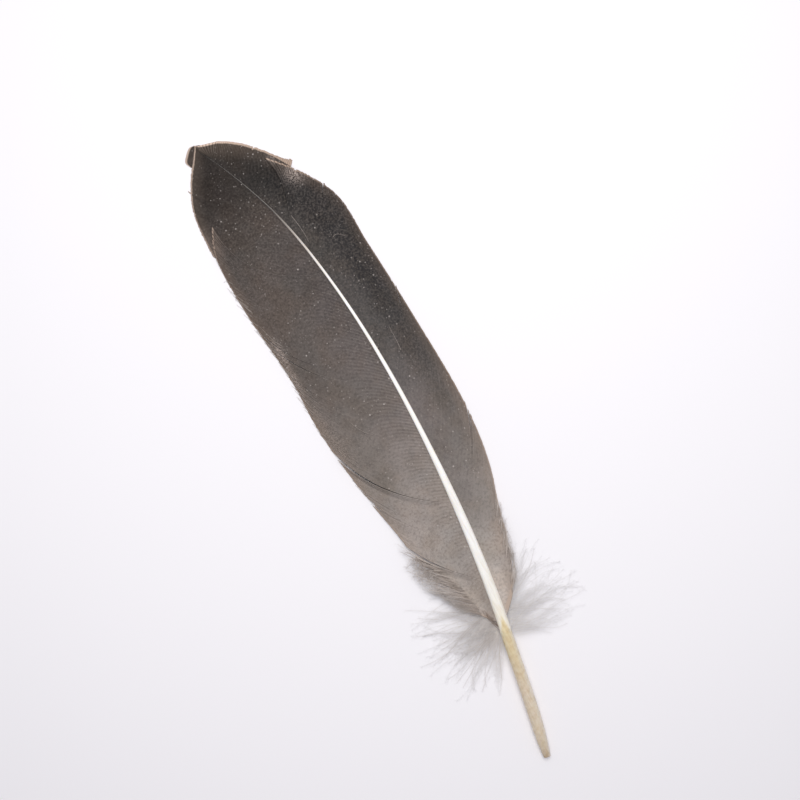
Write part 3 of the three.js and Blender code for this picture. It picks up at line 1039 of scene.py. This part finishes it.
def make_fringe(vane, number, low, high, count, random, material):
    """Unhooked downy ends of the lowest barbs of a vane, curling back towards the foot."""
    t = np.linspace(0, 1, DOWN_RINGS)
    root = random.uniform(low, high, (count, 1))
    start = barb_length(vane, root) * random.uniform(*FRINGE_START, (count, 1))
    end = random.uniform(*FRINGE_END, (count, 1))
    curl = random.uniform(*FRINGE_CURL, (count, 1)) * t**1.8
    along = lerp(start, end, t)
    points = vane_point(vane, np.maximum(root - curl, low - 6), along)
    points[..., 2] += FRINGE_HEIGHT + random.uniform(0, 0.8, (count, 1)) * np.sin(np.pi * t)
    points[..., 2] += FRINGE_LIFT * smoothstep(root, high - 7, high - 2)
    points[..., 2] = np.maximum(points[..., 2], 2 * FLOOR_CLEARANCE)
    name = f"{vane['piece']}_fringe_{number:02d}"
    made = make_plume(name, points, random, material, FRINGE_THICKNESS)
    follow_lock(made, vane, number, low, high)


def make_fringes(material):
    random = np.random.default_rng(SEED + 30)
    for vane, counts in FRINGE_COUNTS:
        for (number, low, high), count in zip(lock_roots(vane), counts):
            make_fringe(vane, number, low, high, count, random, material)


# The folded corner beside the tip, seen from above: its outline, and the fold under the vane's edge
CORNER_RIM_X = curve_through([(0, 0.4), (0.15, -0.6), (0.5, -2.9), (0.8, -4.3), (1, -3.5)])
CORNER_RIM_Y = curve_through([(0, 250.1), (0.15, 250.0), (0.5, 248.1), (0.8, 246.0), (1, 243.8)])
CORNER_FOLD = ((3.0, 249.0), (-2.4, 242.8))
CORNER_BARBS = 22
CORNER_WIDTH = 2.4


def make_corner(material):
    """Barbs beside the tip that are folded outwards, under the edge of the vane."""
    v = np.linspace(0, 1, CORNER_BARBS)[:, None, None]
    t = np.linspace(0, 1, BARB_RINGS)[None, :, None]
    offset, height, ridge = BARB_SECTION.T
    v = v + offset / (CORNER_BARBS - 1)
    (fold_x, fold_y), (fold_end_x, fold_end_y) = CORNER_FOLD
    x = lerp(lerp(fold_x, fold_end_x, v), CORNER_RIM_X(v), t)
    y = lerp(lerp(fold_y, fold_end_y, v), CORNER_RIM_Y(v), t)
    z = EDGE_HEIGHT + 0.5 * height
    points = np.stack(np.broadcast_arrays(x, y, z), -1)
    attributes = spread_over(points, {
        "along": points[..., 1] / LENGTH,
        "across": 1,
        "edge": CORNER_WIDTH * (1 - t),
        "strand": 0,
        "ridge": ridge,
        "loose": 0,
        "glint": 0,
    })
    faces = strand_faces(CORNER_BARBS, BARB_RINGS, len(BARB_SECTION))
    made = make_object("tip_corner_fold", points, faces, attributes, material)
    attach(made, BODY)


# Loose barbs that lie on the vane: (vane, root and t where one starts, root and t where it ends)
STRAY_BARBS = [
    (OUTER_VANE, 205, 0.22, 196, 0.10), (OUTER_VANE, 183, 0.45, 176, 0.62),
    (INNER_VANE, 172, 0.92, 166, 1.08), (INNER_VANE, 168, 0.9, 159, 1.05),
    (INNER_VANE, 190, 0.55, 187, 0.7), (INNER_VANE, 150, 0.75, 154, 0.9),
    (OUTER_VANE, 140, 0.3, 148, 0.34), (INNER_VANE, 120, 0.35, 123, 0.5),
]
FOOT_BARBS = 7  # short brown barbs beside the shaft, below the vane
FOOT_ROOTS = (46, 51)
EDGE_HAIRS = 34  # barb ends that stick out of the inner vane's edge
EDGE_ROOTS = (72, 166)
HAIR_THICKNESS = (0.07, 0.03)


def above_vane(line, clearance):
    """The line lifted off the vane, and held off the table."""
    line[:, 2] = np.maximum(line[:, 2] + clearance, 3 * FLOOR_CLEARANCE)
    return line


def stray_line(stray, random, t):
    vane, root, start, end_root, end = stray
    bend = 1.2 * np.sin(np.pi * t) * random.choice((-1, 1))
    return above_vane(vane_point(vane, lerp(root, end_root, t) + bend, lerp(start, end, t)), 0.35)


def edge_hair(random, t):
    root = random.uniform(*EDGE_ROOTS)
    drift = random.uniform(-2.5, 1.5) * t**2
    place = random.uniform(0.88, 0.93) + random.uniform(0.1, 0.16) * t
    return above_vane(vane_point(INNER_VANE, root + drift, place), 0.2)


def foot_barb(random, t):
    foot = shaft_point(random.uniform(*FOOT_ROOTS), -1, 0.1, 0.1)
    tall = random.uniform(5, 10)
    x = foot[0] - random.uniform(0.6, 2.4) * np.sin(2.1 * t)
    return np.stack([x, foot[1] + tall * t, foot[2] + 0.5 * np.sin(np.pi * t)], -1)


def make_stray_barbs(material):
    random = np.random.default_rng(SEED + 40)
    t = np.linspace(0, 1, DOWN_RINGS)
    pale = [stray_line(stray, random, t) for stray in STRAY_BARBS]
    pale += [edge_hair(random, t) for _ in range(EDGE_HAIRS)]
    brown = [foot_barb(random, t) for _ in range(FOOT_BARBS)]
    barbs = thin_strands(np.array(pale + brown), np.linspace(*HAIR_THICKNESS, DOWN_RINGS))
    faces = strand_faces(len(barbs), DOWN_RINGS, 4)
    shade = np.repeat([0.0, 1.0], [len(pale) * DOWN_RINGS * 4, len(brown) * DOWN_RINGS * 4])
    made = make_object("stray_barbs", barbs, faces, {"strand": shade}, material)
    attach(made, BODY)


def stray_material():
    """Pale loose barbs on the vane and brown ones at its foot."""
    material, tree, shader = new_material("stray_barbs")
    colour = mix(tree, attribute(tree, "strand"), "#a89d95", "#7d6556")
    colour = mix(tree, patches(tree, 1, (0.4, 0.7), 0.4), colour, "#c9bfb7")
    finish_shader(tree, shader, colour, {"Roughness": 0.7})
    return material


# ---- stage

CAMERA_OVER = np.array([18.85, 135.1, 1.0])  # the camera looks straight down on this place
CAMERA_ROLL = -30.38
IMAGE_UP = np.array([-np.sin(np.radians(CAMERA_ROLL)), np.cos(np.radians(CAMERA_ROLL))])
VIEW_WIDTH = 283.3
LENS = 50
SENSOR = 36
WORLD_STRENGTH = 0.42
SOFTBOX_HEIGHT = 0.5  # in metres, as are the next three
SOFTBOX_UP = 0.155  # how far up the picture it hangs, from the middle
SOFTBOX_AIM_UP = 0.06  # and how far up it aims
SOFTBOX_SIZE = 0.35
SOFTBOX_POWER = 2.25
SOFTBOX_COLOUR = (1, 0.985, 0.972)


def make_camera():
    data = bpy.data.cameras.new("camera")
    data.lens = LENS
    data.sensor_width = SENSOR
    camera = bpy.data.objects.new("camera", data)
    bpy.context.scene.collection.objects.link(camera)
    place = in_frame(CAMERA_OVER)
    height = VIEW_WIDTH * LENS / SENSOR / 1000
    camera.location = (place[0], place[1], place[2] + height)
    camera.rotation_euler = (0, 0, np.radians(CAMERA_ROLL))
    bpy.context.scene.camera = camera


def make_floor():
    bpy.ops.mesh.primitive_plane_add(size=6, location=(0, 0, -0.0001))
    floor = bpy.context.object
    floor.name = "floor"
    material, _, shader = new_material("floor_paper")
    shader.inputs["Base Color"].default_value = (*srgb("#f7f6f9"), 1)
    shader.inputs["Roughness"].default_value = 0.85
    floor.data.materials.append(material)


def make_studio():
    world = bpy.data.worlds.new("studio")
    world.use_nodes = True
    background = world.node_tree.nodes["Background"]
    background.inputs["Color"].default_value = (*srgb("#f6f4fb"), 1)
    background.inputs["Strength"].default_value = WORLD_STRENGTH
    bpy.context.scene.world = world
    data = bpy.data.lights.new("softbox", "AREA")
    data.size = SOFTBOX_SIZE
    data.energy = SOFTBOX_POWER
    data.color = SOFTBOX_COLOUR
    light = bpy.data.objects.new("softbox", data)
    middle = in_frame(CAMERA_OVER)[:2]
    light.location = (*(middle + SOFTBOX_UP * IMAGE_UP), SOFTBOX_HEIGHT)
    aim = (*(middle + SOFTBOX_AIM_UP * IMAGE_UP), 0)
    light.rotation_euler = (Vector(aim) - light.location).to_track_quat("-Z", "Y").to_euler()
    bpy.context.scene.collection.objects.link(light)
    bpy.context.scene.view_settings.view_transform = "Standard"


def main():
    make_camera()
    make_floor()
    make_studio()
    barrel = horn_material("barrel_horn", 0.9, 0.25)
    rachis = horn_material("rachis_horn", 1.0, 0.15)
    inner = barb_material("inner_vane", INNER_COLOURS, INNER_ROOT_COLOURS, INNER_RIM_COLOURS)
    outer = barb_material("outer_vane", OUTER_COLOURS, OUTER_ROOT_COLOURS, OUTER_RIM_COLOURS)
    left_down = down_material("left_down", "#ebe4de", "#ffffff", "#cfc5bd")
    right_down = down_material("right_down", "#faf7f5", "#ffffff", "#dfd9d5")
    make_barrel(barrel)
    make_rachis(rachis)
    make_pith(plain_material("pith_foam", "#faf7ef", "#e9e2d2", 0.5, 0.95))
    make_plug(plain_material("dried_stopper", "#7a563a", "#4a3222", 0.4, 0.85))
    membrane = plain_material("pulp_membrane", "#d8c9a4", "#b59f74", 0.8, 0.6)
    for number in range(1, PULP_CAPS + 1):
        make_pulp_cap(number, membrane)
    make_vane(INNER_VANE, inner)
    make_vane(OUTER_VANE, outer)
    make_down(LEFT_DOWN, left_down)
    make_down(RIGHT_DOWN, right_down)
    make_afterfeather(left_down)
    make_fringes(down_material("foot_fringe", "#b3a498", "#efe9e4", "#8d7d6f"))
    make_corner(inner)
    make_stray_barbs(stray_material())


main()
